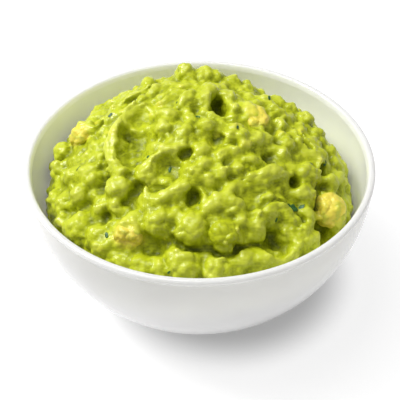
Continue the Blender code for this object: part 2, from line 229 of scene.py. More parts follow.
class StageSettings(PropertyGroup):
    floor: StringProperty(name="Floor", description="Colour of the table", default="A9A9A9")
    # The table's painted glow clear of the bowl; round the foot it is weaker, a painted shadow.
    painted_glow: FloatProperty(
        name="Glow", description="Light that the lit table gives off clear of the bowl", default=0.74)
    key_power: FloatProperty(
        name="Key power", description="Power of the soft light overhead", default=5.6, unit="POWER")
    side_power: FloatProperty(
        name="Side power", description="Power of the smaller light at the left", default=8.4, unit="POWER")
    ambient: FloatProperty(
        name="Ambient", description="Strength of the white surroundings", default=0.30)
    lens: FloatProperty(name="Lens", description="Focal length in millimetres", default=85.0)
    distance: FloatProperty(
        name="Distance", description="Camera to the middle of the bowl", default=0.4214, unit="LENGTH")
    elevation: FloatProperty(
        name="Elevation", description="Height of the camera", default=math.radians(41.38), subtype="ANGLE")


# ---------------------------------------------------------------- materials


def linear(code):
    """Linear RGBA of an sRGB hex colour."""
    parts = [int(code[index:index + 2], 16) / 255.0 for index in (0, 2, 4)]
    return (*[p / 12.92 if p <= 0.04045 else ((p + 0.055) / 1.055) ** 2.4 for p in parts], 1.0)


def add_node(tree, kind, settings=None, **inputs):
    """Add a node. An input is a value, or (node, output) to link. Its name has '_' for a space, or
    is i and the socket's number where names repeat."""
    node = tree.nodes.new(kind)
    for name, value in (settings or {}).items():
        setattr(node, name, value)
    for name, value in inputs.items():
        numbered = name[0] == "i" and name[1:].isdigit()
        socket = node.inputs[int(name[1:]) if numbered else name.replace("_", " ")]
        if isinstance(value, tuple) and isinstance(value[0], bpy.types.Node):
            tree.links.new(value[0].outputs[value[1]], socket)
        else:
            socket.default_value = value
    return node


def new_material(name):
    """A material with an empty tree, its Principled shader and its output."""
    material = bpy.data.materials.new(name)
    material.use_nodes = True
    tree = material.node_tree
    tree.nodes.clear()
    shader = add_node(tree, "ShaderNodeBsdfPrincipled")
    add_node(tree, "ShaderNodeOutputMaterial", Surface=(shader, "BSDF"))
    return material, tree, shader


def colour_ramp(tree, stops, factor):
    """A ramp of (position, hex colour) stops, driven by (node, output name)."""
    ramp = add_node(tree, "ShaderNodeValToRGB", Fac=factor)
    elements = ramp.color_ramp.elements
    while len(elements) < len(stops):
        elements.new(0.5)
    for element, (position, code) in zip(elements, stops):
        element.position = position
        element.color = linear(code)
    return ramp


def glazed_porcelain(settings):
    """Glazed porcelain, dipped and fired: white, glassy, with the faint unevenness of a pooled glaze."""
    material, tree, shader = new_material("glazed_porcelain")
    place = add_node(tree, "ShaderNodeTexCoord")
    # Glaze pools in patches about 25 mm across, a hair warmer where it is thin.
    pooling = add_node(tree, "ShaderNodeTexNoise", Vector=(place, "Object"), Scale=40.0, Detail=2.0)
    tone = colour_ramp(tree, [(0.35, settings.glaze), (0.75, "E1E1E0")], (pooling, "Fac"))
    # Ripple of the fired glaze, about 4 mm from crest to crest.
    ripple = add_node(tree, "ShaderNodeTexNoise", Vector=(place, "Object"), Scale=240.0, Detail=1.0)
    relief = add_node(tree, "ShaderNodeBump", Height=(ripple, "Fac"), Strength=0.08, Distance=0.0002)
    # Inside, where the surface faces the bowl's axis, the glaze is painted whiter than outside: painted light
    # on the inner walls.
    facing = add_node(tree, "ShaderNodeVectorMath", {"operation": "DOT_PRODUCT"},
                      i0=(place, "Normal"), i1=(place, "Object"))
    inside = add_node(tree, "ShaderNodeMapRange", Value=(facing, "Value"),
                      From_Min=0.0, From_Max=-0.03, To_Min=0.0, To_Max=1.0)
    colour = add_node(tree, "ShaderNodeMix", {"data_type": "RGBA"}, Factor=(inside, "Result"),
                      i6=(tone, "Color"), i7=linear(settings.inside))
    tree.links.new(colour.outputs[2], shader.inputs["Base Color"])
    tree.links.new(relief.outputs["Normal"], shader.inputs["Normal"])
    shader.inputs["Roughness"].default_value = 0.16
    shader.inputs["IOR"].default_value = 1.5
    # Thin porcelain lets some light through the wall.
    shader.inputs["Subsurface Weight"].default_value = 0.7
    shader.inputs["Subsurface Radius"].default_value = (1.0, 0.98, 0.94)
    shader.inputs["Subsurface Scale"].default_value = 0.008
    return material


def bare_biscuit(settings):
    """Unglazed foot ring, wiped clean before firing: matt, a little sandy."""
    material, tree, shader = new_material("bare_biscuit_porcelain")
    place = add_node(tree, "ShaderNodeTexCoord")
    # Fine sand, drawn at 0.5 mm because the real 0.1 mm grain is too fine to show.
    sand = add_node(tree, "ShaderNodeTexNoise", Vector=(place, "Object"), Scale=2000.0, Detail=2.0)
    tone = colour_ramp(tree, [(0.3, settings.biscuit), (0.7, "EFEBE3")], (sand, "Fac"))
    relief = add_node(tree, "ShaderNodeBump", Height=(sand, "Fac"), Strength=0.3, Distance=0.0001)
    tree.links.new(tone.outputs["Color"], shader.inputs["Base Color"])
    tree.links.new(relief.outputs["Normal"], shader.inputs["Normal"])
    shader.inputs["Roughness"].default_value = 0.8
    return material


def mashed_avocado(settings):
    """Fork-mashed avocado: wet, oily, with painted light on the lumps and painted shade, deep green, in the
    folds.
    """
    material, tree, shader = new_material("fork_mashed_avocado")
    place = add_node(tree, "ShaderNodeTexCoord")
    tint = add_node(tree, "ShaderNodeAttribute", {"attribute_name": "tint"})
    proud = add_node(tree, "ShaderNodeAttribute", {"attribute_name": "proud"})
    # Patches of riper, yellower flesh about 12 mm across.
    patches = add_node(tree, "ShaderNodeTexNoise", Vector=(place, "Object"), Scale=85.0, Detail=3.0)
    # Fibres and crushed bits about 1.5 mm long.
    bits = add_node(tree, "ShaderNodeTexNoise", Vector=(place, "Object"), Scale=650.0, Detail=3.0)
    # Paler where it stands proud and darker where it lies in a fold, which is painted light and painted
    # shade; paler also where it is tinted yellow, and by both kinds of patch.
    level = 0.04
    for source, weight in ((proud, 0.40), (tint, 0.22), (patches, 0.50), (bits, 0.26)):
        total = add_node(tree, "ShaderNodeMath", {"operation": "MULTIPLY_ADD"},
                         i0=(source, "Fac"), i1=weight, i2=level)
        level = (total, "Value")
    # The deep end of the ramp is painted shade in the folds, and the pale end is partly painted light on the
    # lumps.
    tone = colour_ramp(tree, [(0.0, settings.deep), (0.48, settings.middle), (1.0, settings.pale)], level)
    # Fine wet grain, about 0.8 mm, too small for the mesh.
    grain = add_node(tree, "ShaderNodeTexNoise", Vector=(place, "Object"), Scale=1300.0, Detail=2.0)
    relief = add_node(tree, "ShaderNodeBump", Height=(grain, "Fac"), Strength=0.35, Distance=0.0004)
    gloss = add_node(tree, "ShaderNodeMapRange", Value=(bits, "Fac"),
                     From_Min=0.3, From_Max=0.7, To_Min=0.36, To_Max=0.52)
    # Round the whole pieces the mash is riper, and turns to their yellow.
    ripe = add_node(tree, "ShaderNodeMapRange", Value=(tint, "Fac"),
                    From_Min=0.5, From_Max=1.4, To_Min=0.0, To_Max=0.8)
    colour = add_node(tree, "ShaderNodeMix", {"data_type": "RGBA"}, Factor=(ripe, "Result"),
                      i6=(tone, "Color"), i7=linear(settings.ripe))
    tree.links.new(colour.outputs[2], shader.inputs["Base Color"])
    tree.links.new(relief.outputs["Normal"], shader.inputs["Normal"])
    tree.links.new(relief.outputs["Normal"], shader.inputs["Coat Normal"])
    tree.links.new(gloss.outputs["Result"], shader.inputs["Roughness"])
    shader.inputs["IOR"].default_value = 1.42
    shader.inputs["Subsurface Weight"].default_value = 0.08
    shader.inputs["Subsurface Radius"].default_value = (1.0, 0.9, 0.25)
    shader.inputs["Subsurface Scale"].default_value = 0.0015
    shader.inputs["Specular IOR Level"].default_value = 0.3
    # Lumps are wet and shiny, the folds between them dull.
    wet = add_node(tree, "ShaderNodeMapRange", Value=(proud, "Fac"),
                   From_Min=-0.3, From_Max=0.4, To_Min=0.08, To_Max=0.5)
    tree.links.new(wet.outputs["Result"], shader.inputs["Coat Weight"])
    shader.inputs["Coat Roughness"].default_value = 0.1
    return material


def ripe_avocado(settings):
    """Ripe avocado flesh, torn by a fork: buttery yellow inside, greener towards the skin."""
    material, tree, shader = new_material("ripe_avocado_flesh")
    place = add_node(tree, "ShaderNodeTexCoord")
    # Mottling from green to yellow to a warmer yellow, about 5 mm across.
    blend = add_node(tree, "ShaderNodeTexNoise", Vector=(place, "Object"), Scale=200.0, Detail=4.0)
    stops = [(0.36, settings.green), (0.50, settings.flesh), (0.72, "EAD65A")]
    tone = colour_ramp(tree, stops, (blend, "Fac"))
    # Torn fibres about 1 mm apart.
    fibres = add_node(tree, "ShaderNodeTexNoise", Vector=(place, "Object"), Scale=900.0, Detail=3.0)
    relief = add_node(tree, "ShaderNodeBump", Height=(fibres, "Fac"), Strength=0.6, Distance=0.0005)
    tree.links.new(tone.outputs["Color"], shader.inputs["Base Color"])
    tree.links.new(relief.outputs["Normal"], shader.inputs["Normal"])
    shader.inputs["Roughness"].default_value = 0.45
    shader.inputs["IOR"].default_value = 1.42
    shader.inputs["Subsurface Weight"].default_value = 0.2
    shader.inputs["Subsurface Radius"].default_value = (1.0, 0.8, 0.2)
    shader.inputs["Subsurface Scale"].default_value = 0.002
    shader.inputs["Coat Weight"].default_value = 0.15
    shader.inputs["Coat Roughness"].default_value = 0.2
    return material


def chopped_herb(settings):
    """Chopped coriander leaf, wet and half sunk in the mash: dark, slightly blue green."""
    material, tree, shader = new_material("chopped_coriander")
    place = add_node(tree, "ShaderNodeTexCoord")
    # Veins and bruises about 0.7 mm apart.
    veins = add_node(tree, "ShaderNodeTexNoise", Vector=(place, "Object"), Scale=1400.0, Detail=2.0)
    tone = colour_ramp(tree, [(0.35, settings.leaf), (0.7, "3F7030")], (veins, "Fac"))
    tree.links.new(tone.outputs["Color"], shader.inputs["Base Color"])
    shader.inputs["Roughness"].default_value = 0.4
    return material


def white_table(settings):
    """Smooth white acrylic: pale, almost matt, made white by a painted glow, with a painted shadow round the
    bowl's foot.
    """
    material, tree, shader = new_material("white_table_painted_glow")
    place = add_node(tree, "ShaderNodeTexCoord")
    mottle = add_node(tree, "ShaderNodeTexNoise", Vector=(place, "Object"), Scale=12.0, Detail=1.0)
    tone = colour_ramp(tree, [(0.3, settings.floor), (0.7, "ABABAB")], (mottle, "Fac"))
    tree.links.new(tone.outputs["Color"], shader.inputs["Base Color"])
    # Its painted glow is weak within 40 mm of a point right of the foot's middle, and full at 64 mm: a
    # painted shadow round the foot.
    moved = add_node(tree, "ShaderNodeVectorMath", {"operation": "SUBTRACT"},
                     i0=(place, "Object"), i1=(0.012, -0.004, 0.0))
    away = add_node(tree, "ShaderNodeVectorMath", {"operation": "LENGTH"}, Vector=(moved, "Vector"))
    painted_glow = add_node(tree, "ShaderNodeMapRange", {"interpolation_type": "SMOOTHSTEP"}, Value=(away, "Value"),
                    From_Min=0.040, From_Max=0.064, To_Min=0.24, To_Max=settings.painted_glow)
    tree.links.new(painted_glow.outputs["Result"], shader.inputs["Emission Strength"])
    shader.inputs["Emission Color"].default_value = (1.0, 1.0, 1.0, 1.0)
    shader.inputs["Roughness"].default_value = 0.7
    shader.inputs["Specular IOR Level"].default_value = 0.2
    return material


# ---------------------------------------------------------------- shared shape code


def new_piece(name, mesh, material):
    """Link a finished mesh to the scene with its place in its vertices."""
    mesh.materials.clear()
    mesh.materials.append(material)
    piece = bpy.data.objects.new(name, mesh)
    bpy.context.scene.collection.objects.link(piece)
    return piece


def apply_modifiers(piece):
    """Replace the piece's mesh by its evaluated one and drop the modifiers."""
    evaluated = piece.evaluated_get(bpy.context.evaluated_depsgraph_get())
    mesh = bpy.data.meshes.new_from_object(evaluated)
    piece.modifiers.clear()
    piece.data = mesh
    return piece


def run_nodes(piece, name, tree, values):
    """Run Geometry Nodes on the piece, with its named inputs set by their identifiers first."""
    modifier = piece.modifiers.new(name, "NODES")
    modifier.node_group = tree
    for socket in tree.interface.items_tree:
        if socket.name in values:
            modifier[socket.identifier] = values[socket.name]
    return apply_modifiers(piece)


def outer_wall(bowl, angle):
    """Radius and height on the outside of the wall in metres, 0 at the lip, pi / 2 at the foot."""
    top_radius = bowl.rim_radius - bowl.lip_step
    top_height = bowl.rim_height - bowl.lip_depth
    radius = bowl.foot_radius + (top_radius - bowl.foot_radius) * math.cos(angle) ** 1.2
    height = bowl.foot_height + (top_height - bowl.foot_height) * (1.0 - math.sin(angle))
    return radius, height


def offset_wall(bowl, angle, depth):
    """The same point moved inwards by depth, square to the wall."""
    step = 1e-4
    middle = min(max(angle, step), math.pi / 2 - step)
    before = outer_wall(bowl, middle - step)
    after = outer_wall(bowl, middle + step)
    along = Vector((after[0] - before[0], after[1] - before[1])).normalized()
    radius, height = outer_wall(bowl, angle)
    return radius + depth * along.y, height - depth * along.x


def inner_radius(bowl, heights):
    """Radius of the bowl's inside at each height, both in millimetres."""
    angles = np.linspace(math.pi / 2, 0.0, 400)
    points = np.array([offset_wall(bowl, angle, bowl.wall) for angle in angles]) / MM
    return np.interp(heights, points[:, 1], points[:, 0])


# ---------------------------------------------------------------- the bowl


def arc(centre, radius, start, end, count):
    """Points of an arc, with angles in degrees."""
    angles = np.radians(np.linspace(start, end, count))
    return [(centre[0] + radius * math.cos(a), centre[1] + radius * math.sin(a)) for a in angles]


def bowl_profile(bowl):
    """Half section of the bowl: up the inside, over the lip, down the outside to the foot."""
    # Points of the wall lie closer together near the lip, where it bends less smoothly.
    angles = math.pi / 2 * np.linspace(0.0, 1.0, 41) ** 1.7
    inside = [offset_wall(bowl, angle, bowl.wall) for angle in angles[:0:-1]]
    outside = [outer_wall(bowl, angle) for angle in angles[1:-1]]
    inner_round, outer_round = 0.0011, 0.0013
    inner_centre = (bowl.rim_radius - bowl.lip_width + inner_round, bowl.rim_height - inner_round)
    outer_centre = (bowl.rim_radius - outer_round, bowl.rim_height - outer_round)
    lip = arc(inner_centre, inner_round, 180.0, 90.0, 7) + arc(outer_centre, outer_round, 90.0, -25.0, 10)
    step = [(bowl.rim_radius - bowl.lip_step, bowl.rim_height - bowl.lip_depth - 0.0002)]
    foot_round = 0.0009
    # Small bevels ease the corners where the foot meets the wall and the recess.
    bevel_out, bevel_down = 0.0004, 0.0006
    foot = [(bowl.foot_radius + bevel_out, bowl.foot_height)]
    foot += [(bowl.foot_radius, bowl.foot_height - bevel_down)]
    foot += arc((bowl.foot_radius - foot_round, foot_round), foot_round, 0.0, -90.0, 5)
    ring_inner = bowl.foot_radius - bowl.foot_width
    foot += arc((ring_inner + foot_round, foot_round), foot_round, -90.0, -180.0, 5)
    foot += [(ring_inner, bowl.recess - bevel_out), (ring_inner - bevel_down, bowl.recess)]
    foot += [(0.0, bowl.recess)]
    return [(0.0, inside[0][1])] + inside + lip + step + outside + foot


def build_bowl(bowl):
    """Turn the profile into the bowl and give the foot ring its bare underside."""
    profile = bowl_profile(bowl)
    mesh = bpy.data.meshes.new("porcelain_bowl")
    edges = [(index, index + 1) for index in range(len(profile) - 1)]
    mesh.from_pydata([(radius, 0.0, height) for radius, height in profile], edges, [])
    piece = new_piece("porcelain_bowl", mesh, glazed_porcelain(bowl))
    mesh.materials.append(bare_biscuit(bowl))
    screw = piece.modifiers.new("Turn", "SCREW")
    screw.axis = "Z"
    screw.steps = screw.render_steps = bowl.steps
    screw.use_merge_vertices = True
    screw.merge_threshold = 0.00001
    screw.use_smooth_shade = True
    apply_modifiers(piece)
    for face in piece.data.polygons:
        if face.center.z < 0.0005:
            face.material_index = 1
    return piece


# ---------------------------------------------------------------- the mash


class Heap:
    """The smooth heap as a signed distance on a grid of cells, with lumps added and pits cut."""

    def __init__(self, bowl, mash):
        self.cell = mash.voxel / MM
        self.line = mash.wall_line / MM
        self.height = mash.heap / MM
        # The top lies this far from the bowl's axis, and these powers give the heap's round shape.
        self.shift = (-4.0, 11.0)
        self.power, self.round = 1.8, 1.6
        # The lumps stand on a heap that is this much smaller.
        self.inset = 1.9
        self.reach = float(inner_radius(bowl, self.line)) + 0.4
        self.bottom = self.line - 5.5
        self.random = np.random.default_rng(mash.seed)
        half = self.reach + 4.0
        top = self.line + self.height + 8.0
        self.x = np.arange(-half, half, self.cell)
        self.y = np.arange(-half, half, self.cell)
        self.z = np.arange(self.bottom, top, self.cell)
        self.smooth = self.smooth_field()
        self.field = self.smooth + self.inset + 0.9 * self.cloud(15.0)
        self.tint = np.zeros_like(self.field)
        self.warp = [0.9 * self.cloud(6.0) + 0.15 * self.cloud(2.6) for _ in range(3)]

    def top(self, x, y):
        """Height of the smooth heap above a place. The heap leans as it rises."""
        share = np.minimum(np.hypot(x - self.shift[0], y - self.shift[1]) / self.reach, 1.0)
        for _ in range(30):
            lean = 1.0 - share ** 2
            away = np.hypot(x - self.shift[0] * lean, y - self.shift[1] * lean)
            share = np.minimum(away / self.reach, 1.0)
        return self.line + self.height * (1.0 - share ** self.power) ** (1.0 / self.round)

    def smooth_field(self):
        """Distance to the heap from how far its surface is straight up and straight out."""
        x, y = np.meshgrid(self.x, self.y, indexing="ij")
        top = self.top(x, y)
        layers = []
        for z in self.z:
            level = np.clip((z - self.line) / self.height, 0.0, 1.0)
            share = (1.0 - level ** self.round) ** (1.0 / self.power)
            lean = 1.0 - share ** 2
            out = np.hypot(x - self.shift[0] * lean, y - self.shift[1] * lean) - self.reach * share
            up = z - top
            both = np.abs(out * up) / np.sqrt(out ** 2 + up ** 2 + 1e-6)
            distance = np.where((out > 0.0) | (up > 0.0), both, -both)
            if z <= self.line:
                distance = out
            elif level >= 1.0:
                distance = up
            layers.append(distance)
        return np.stack(layers, axis=2).astype(np.float32)

    def cloud(self, spacing):
        """Smooth random values from -1 to 1 on the grid, from random values that far apart."""
        weights = []
        for axis in (self.x, self.y, self.z):
            place = (axis - axis[0]) / spacing
            base = np.floor(place).astype(int)
            share = place - base
            share = share * share * (3.0 - 2.0 * share)
            matrix = np.zeros((len(axis), base.max() + 2))
            matrix[np.arange(len(axis)), base] = 1.0 - share
            matrix[np.arange(len(axis)), base + 1] = share
            weights.append(matrix)
        values = self.random.uniform(-1.0, 1.0, [matrix.shape[1] for matrix in weights])
        values = np.tensordot(weights[0], values, axes=(1, 0))
        values = np.tensordot(values, weights[1], axes=(1, 1)).transpose(0, 2, 1)
        return (values @ weights[2].T).astype(np.float32)

    def normal(self, x, y):
        """Outward direction of the smooth heap above a place."""
        step = 0.2
        across = (self.top(x + step, y) - self.top(x - step, y)) / (2 * step)
        along = (self.top(x, y + step) - self.top(x, y - step)) / (2 * step)
        direction = np.array([-across, -along, 1.0])
        return direction / np.linalg.norm(direction)

    def on_heap(self, place, rise):
        """Point that far above the smooth heap's surface at a place."""
        x, y = place
        return np.array([x, y, float(self.top(x, y))]) + rise * self.normal(x, y)

    def window(self, low, high):
        """Slices of the grid between two corners, and the warped coordinates there."""
        slices = []
        for axis, start, end in zip((self.x, self.y, self.z), low, high):
            first = int(np.clip(np.searchsorted(axis, start), 0, len(axis)))
            last = int(np.clip(np.searchsorted(axis, end), 0, len(axis)))
            slices.append(slice(first, last))
        slices = tuple(slices)
        grid = np.meshgrid(self.x[slices[0]], self.y[slices[1]], self.z[slices[2]], indexing="ij")
        return slices, [axis + warp[slices] for axis, warp in zip(grid, self.warp)]

    def add(self, shape, slices, softness, tint):
        """Join a shape to the mash with a crease of that softness, and tint it."""
        here = self.field[slices]
        mix = np.clip(0.5 + 0.5 * (here - shape) / softness, 0.0, 1.0)
        self.field[slices] = here * (1.0 - mix) + shape * mix - softness * mix * (1.0 - mix)
        self.tint[slices] = self.tint[slices] * (1.0 - mix) + tint * mix

    def cut(self, shape, slices, softness):
        """Take a shape out of the mash with a soft edge."""
        here = self.field[slices]
        mix = np.clip(0.5 - 0.5 * (here + shape) / softness, 0.0, 1.0)
        self.field[slices] = here * (1.0 - mix) - shape * mix + softness * mix * (1.0 - mix)

    def ball(self, centre, radius, stretch=1.0, direction=None):
        """Distance to a ball, stretched along a direction, near its centre."""
        reach = radius * max(stretch, 1.0) + MARGIN
        slices, (x, y, z) = self.window(centre - reach, centre + reach)
        x, y, z = x - centre[0], y - centre[1], z - centre[2]
        if direction is not None:
            along = x * direction[0] + y * direction[1] + z * direction[2]
            pull = 1.0 / stretch - 1.0
            x, y, z = [axis + pull * along * part for axis, part in zip((x, y, z), direction)]
        return np.sqrt(x ** 2 + y ** 2 + z ** 2) - radius, slices

    def rope(self, points, radius):
        """Distance to a rope through points, near it."""
        points = np.array(points)
        reach = radius + MARGIN
        slices, grid = self.window(points.min(0) - reach, points.max(0) + reach)
        nearest = np.full(grid[0].shape, np.inf)
        for start, end in zip(points[:-1], points[1:]):
            line = end - start
            away = [axis - value for axis, value in zip(grid, start)]
            share = np.clip(sum(a * b for a, b in zip(away, line)) / (line @ line), 0.0, 1.0)
            gap = np.sqrt(sum((a - share * b) ** 2 for a, b in zip(away, line)))
            nearest = np.minimum(nearest, gap)
        return nearest - radius, slices

    def add_lump(self, place, radius, rise, tint, softness=0.9):
        """A lump of mash, a little longer one way than the other."""
        direction = self.random.normal(0.0, 1.0, 3)
        direction /= np.linalg.norm(direction)
        stretch = self.random.uniform(0.85, 1.3)
        shape, slices = self.ball(self.on_heap(place, rise - radius), radius, stretch, direction)
        self.add(shape, slices, softness, tint)

    def add_ridge(self, line, radius, rise, tint):
        """A fold along a line, with lumps that follow each other on its crest."""
        points = [self.on_heap(place, rise - radius - 0.6) for place in line]
        shape, slices = self.rope(points, radius)
        self.add(shape, slices, 1.6, tint)
        for start, end in zip(line[:-1], line[1:]):
            count = max(round(math.dist(start, end) / (0.8 * radius)), 1)
            for share in np.arange(count) / count:
                drift = self.random.normal(0.0, 0.16 * radius, 2)
                place = [a + share * (b - a) + c for a, b, c in zip(start, end, drift)]
                size = radius * self.random.uniform(0.7, 1.12)
                height = rise * self.random.uniform(0.6, 1.15)
                self.add_lump(place, size, height, tint + self.random.normal(0.0, 0.15), 0.45 * size)

    def cut_pit(self, place, radius, depth):
        """An uneven hole that leans to the front, cut by two balls a little apart."""
        outward = self.normal(*place) + np.array([0.0, -0.6, 0.0])
        outward /= np.linalg.norm(outward)
        stretch = max(depth / radius, 0.6)
        turn = math.radians(40.0 * place[0] + 25.0 * place[1])
        drift = 0.45 * radius * np.array([math.cos(turn), math.sin(turn), 0.0])
        for side, share in ((1.0, 0.88), (-1.0, 0.72)):
            middle = self.on_heap(place, 0.0) + side * drift
            shape, slices = self.ball(middle, share * radius, stretch, outward)
            self.cut(shape, slices, 1.6)

    def cut_hollow(self, place, radius, depth):
        """A dip of that radius and depth, cut by a larger ball."""
        ball_radius = (radius ** 2 + depth ** 2) / (2 * depth)
        shape, slices = self.ball(self.on_heap(place, ball_radius - depth), ball_radius)
        self.cut(shape, slices, 2.0)

    def random_place(self):
        """A place on the heap. The power below a half puts a few more of them near its edge."""
        angle = self.random.uniform(0.0, 2.0 * math.pi)
        away = (self.reach - 1.0) * self.random.uniform(0.0, 1.0) ** 0.45
        return away * math.cos(angle), away * math.sin(angle)

    def scatter_lumps(self, small, large, spacing, count):
        """Random lumps all over the heap. Spacing is the least gap, in radii, between two centres."""
        taken = np.empty((0, 3))
        for _ in range(count):
            place = self.random_place()
            radius = small + (large - small) * self.random.uniform(0.0, 1.0) ** 1.5
            rise = radius * self.random.uniform(-0.5, 0.2)
            tint = self.random.normal(0.0, 0.4)
            centre = self.on_heap(place, rise - radius)
            if len(taken) and np.linalg.norm(taken - centre, axis=1).min() < spacing * radius:
                continue
            taken = np.vstack([taken, centre])
            direction = self.random.normal(0.0, 1.0, 3)
            direction /= np.linalg.norm(direction)
            shape, slices = self.ball(centre, radius, self.random.uniform(0.8, 1.5), direction)
            self.add(shape, slices, radius * self.random.uniform(0.25, 0.6), tint)

    def add_collar(self, name, half_sizes):
        """Riper mash that swells up round a whole piece of avocado and hides all but its top."""
        low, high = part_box(name)
        centre = np.array((low + high) / 2) / MM
        sink, swell, softness = 2.4, 1.4, 2.4
        tint = 0.3 if "knob" in name else 1.4
        outward = self.normal(centre[0], centre[1])
        shape, slices = self.ball(centre - sink * outward, float(np.mean(half_sizes)) + swell)
        self.add(shape, slices, softness, tint)

    def shape_mash(self, lumps, bowl):
        """Random lumps, the listed forms over them, fine crumbs, then the inside of the bowl."""
        self.scatter_lumps(small=2.8, large=5.4, spacing=1.3, count=lumps)
        self.scatter_lumps(small=1.6, large=3.0, spacing=1.25, count=2 * lumps)
        for line, radius, rise, tint in RIDGES:
            self.add_ridge(line, radius, rise, tint)
        for x, y, radius, depth in HOLLOWS:
            self.cut_hollow((x, y), radius, depth)
        for x, y, radius, rise, tint in KNOBS:
            self.add_lump((x, y), radius, rise, tint, softness=0.6 + 0.1 * radius)
        for name, half_sizes, _, _ in CHUNKS:
            self.add_collar(name, half_sizes)
        self.scatter_crumbs(small=1.2, large=2.2, count=lumps // 3)
        # Waves 0.2 mm high and 3.4 mm apart, and finer ones on them.
        self.field += 0.2 * self.cloud(3.4) + 0.05 * self.cloud(1.7)
        sharp = 0.8
        for x, y, radius, depth in PITS:
            self.cut_pit((x, y), radius, depth)
        for start, end, radius, depth in FORK_MARKS:
            points = [self.on_heap(place, radius - depth) for place in (start, end)]
            shape, slices = self.rope(points, radius)
            self.cut(shape, slices, sharp)
        for line, radius, depth, under in CRACKS:
            for share in (0.0, 0.5, 1.0):
                points = [self.on_heap(place, radius - depth * share) for place in line]
                points = [point + np.array([0.0, under * share, 0.0]) for point in points]
                shape, slices = self.rope(points, radius)
                self.cut(shape, slices, sharp)
        x, y = np.meshgrid(self.x, self.y, indexing="ij")
        wall = np.hypot(x, y)[:, :, None] - (inner_radius(bowl, self.z) + WALL_OVERLAP)[None, None, :]
        self.field = np.maximum(self.field, wall)

    def scatter_crumbs(self, small, large, count):
        """Small crumbs of flesh that sit on the surface wherever it is by now."""
        for _ in range(count):
            place = self.random_place()
            radius = self.random.uniform(small, large)
            depth = self.surface_depth(place)
            centre = self.on_heap(place, depth - radius * self.random.uniform(0.45, 0.95))
            shape, slices = self.ball(centre, radius)
            self.add(shape, slices, 0.5 * radius, self.random.normal(0.15, 0.35))

    def surface_depth(self, place):
        """Height of the present surface over the smooth heap at a place, along the outward line."""
        rises = np.arange(6.0, -7.0, -0.4)
        points = self.on_heap(place, 0.0) + rises[:, None] * self.normal(*place)
        cells = [np.clip(np.rint((points[:, k] - axis[0]) / self.cell).astype(int), 0, len(axis) - 1)
                 for k, axis in enumerate((self.x, self.y, self.z))]
        inside = self.field[tuple(cells)] < 0.0
        return float(rises[int(np.argmax(inside))]) if inside.any() else -6.0

    def blurred(self, cells):
        """Mean of the field over a cube of that many cells each way."""
        field = np.clip(self.field, -3.0, 3.0)
        for axis in range(3):
            pad = [(cells + 1, cells) if index == axis else (0, 0) for index in range(3)]
            total = np.cumsum(np.pad(field, pad, mode="edge"), axis=axis, dtype=np.float64)
            total = np.moveaxis(total, axis, 0)
            field = np.moveaxis(total[2 * cells + 1:] - total[:-2 * cells - 1], 0, axis) / (2 * cells + 1)
        return field

    def skin(self):
        """The mash's surface, slightly smoothed: points, one in each cell that it crosses, quads,
        tint, and the mean distance round each point, which is high where it stands proud; the material paints
        light and shade from it."""
        field = 0.4 * self.field + 0.6 * self.blurred(1)
        inside = field < 0.0
        shape = tuple(size - 1 for size in field.shape)
        count = np.zeros(shape, np.int8)
        for corner in np.ndindex(2, 2, 2):
            count += inside[tuple(slice(start, start + size) for start, size in zip(corner, shape))]
        mixed = (count > 0) & (count < 8)
        cells = np.argwhere(mixed)
        index = np.full(shape, -1, np.int64)
        index[mixed] = np.arange(len(cells))
        total = np.zeros((len(cells), 3))
        hits = np.zeros(len(cells))
        for axis in range(3):
            for i, j in ((0, 0), (0, 1), (1, 0), (1, 1)):
                start = np.insert(np.array([i, j]), axis, 0)
                unit = np.eye(3, dtype=int)[axis]
                first = field[tuple((cells + start).T)]
                second = field[tuple((cells + start + unit).T)]
                crossed = (first < 0.0) != (second < 0.0)
                share = first[crossed] / (first[crossed] - second[crossed])
                total[crossed] += start + share[:, None] * unit
                hits[crossed] += 1.0
        points = cells + total / hits[:, None]
        quads = []
        for axis in range(3):
            side = [np.eye(3, dtype=int)[(axis + turn) % 3] for turn in (1, 2)]
            low = [slice(1, -1)] * 3
            low[axis] = slice(0, -1)
            high = list(low)
            high[axis] = slice(1, None)
            change = inside[tuple(low)].astype(np.int8) - inside[tuple(high)].astype(np.int8)
            edges = np.argwhere(change != 0)
            signs = change[tuple(edges.T)]
            offset = np.ones(3, dtype=int)
            offset[axis] = 0
            base = edges + offset
            ring = [base, base - side[0], base - side[0] - side[1], base - side[1]]
            faces = np.stack([index[tuple(cell.T)] for cell in ring], axis=1)
            faces[signs < 0] = faces[signs < 0][:, ::-1]
            quads.append(faces)
        origin = np.array([self.x[0], self.y[0], self.z[0]])
        nearest = tuple(np.rint(points).astype(int).T)
        points = origin + self.cell * points
        return points, np.concatenate(quads), self.tint[nearest], self.blurred(4)[nearest]


def fill_below(mesh, bowl):
    """Carry the open lower edge of the mash down inside the bowl and close it on the floor."""
    shape = bmesh.new()
    shape.from_mesh(mesh)
    edges = [edge for edge in shape.edges if edge.is_boundary]
    level = min(vertex.co.z for vertex in shape.verts) / MM
    floor = offset_wall(bowl, math.pi / 2, bowl.wall)[1] / MM
    for height in np.linspace(level, floor - WALL_OVERLAP, 9)[1:]:
        result = bmesh.ops.extrude_edge_only(shape, edges=edges)
        verts = [item for item in result["geom"] if isinstance(item, bmesh.types.BMVert)]
        edges = [item for item in result["geom"] if isinstance(item, bmesh.types.BMEdge)]
        radius = (float(inner_radius(bowl, height)) + WALL_OVERLAP) * MM
        for vertex in verts:
            flat = Vector((vertex.co.x, vertex.co.y, 0.0)).normalized() * radius
            vertex.co = Vector((flat.x, flat.y, height * MM))
    bmesh.ops.holes_fill(shape, edges=edges, sides=0)
    bmesh.ops.recalc_face_normals(shape, faces=shape.faces)
    shape.to_mesh(mesh)
    shape.free()


